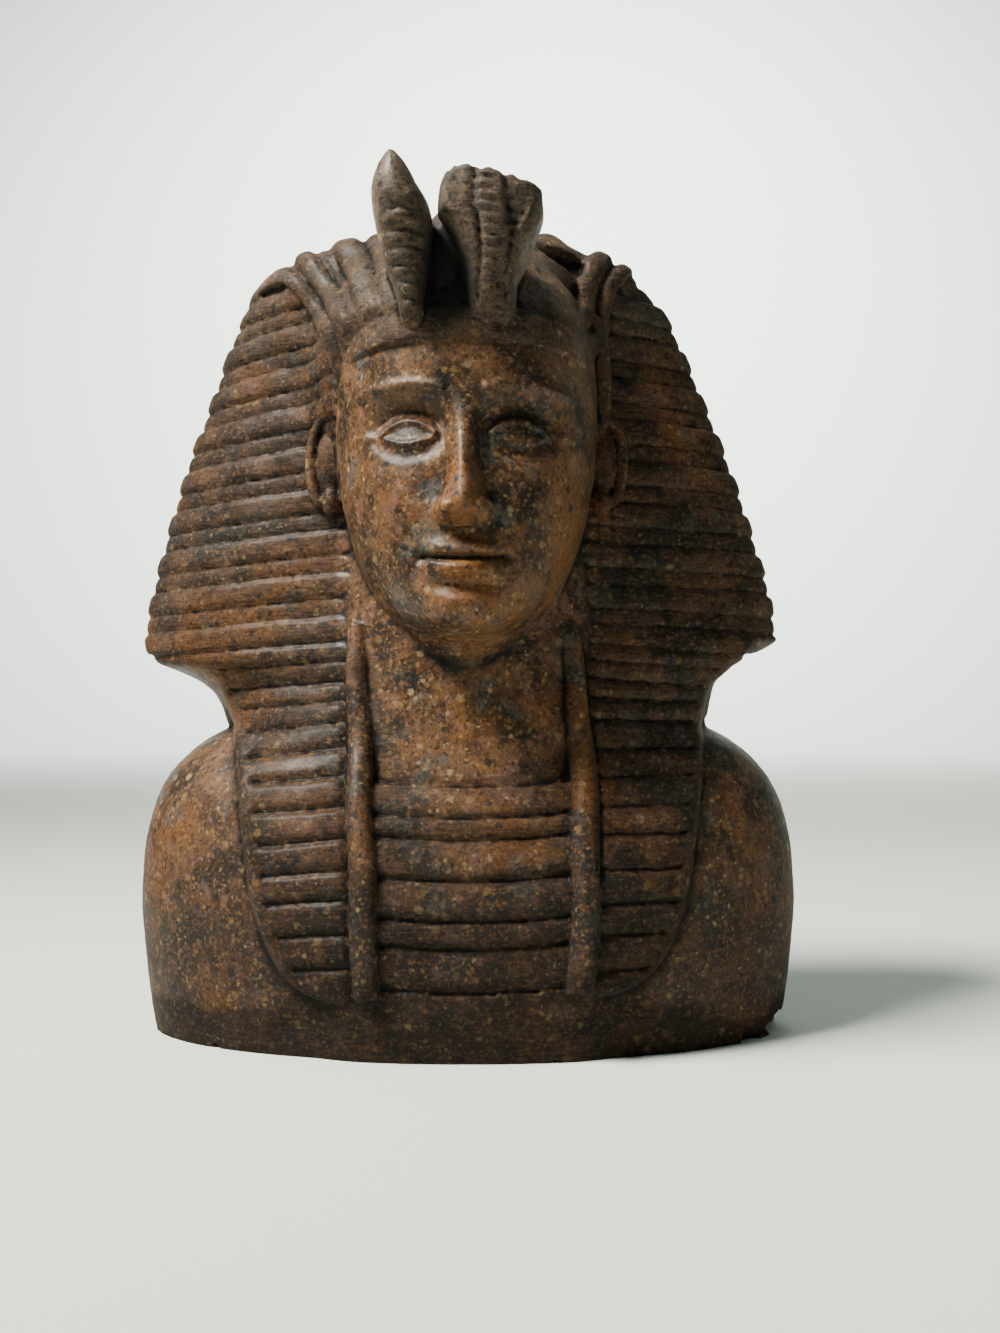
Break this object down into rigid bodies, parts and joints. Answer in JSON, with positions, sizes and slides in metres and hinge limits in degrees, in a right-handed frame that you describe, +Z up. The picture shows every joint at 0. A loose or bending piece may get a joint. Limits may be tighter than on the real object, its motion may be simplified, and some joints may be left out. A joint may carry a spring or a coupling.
{
  "type": "pharaoh bust figurine",
  "caption": "Carved stone souvenir bust of a pharaoh in a striped head cloth with a vulture and a broken cobra at the brow, cut flat below to stand.",
  "frame": {"origin": "on the flat underside, below the middle of the neck: the mount underside", "axes": "+Z up, from the underside to the tip of the vulture; the face looks along -Y; +X to the right of someone who faces the bust"},
  "size_m": [0.111, 0.0723, 0.1353],
  "materials": {
    "speckled_stone": "satin"
  },
  "bodies": {
    "root": {"pharaoh_bust": "speckled_stone"}
  },
  "joints": []
}
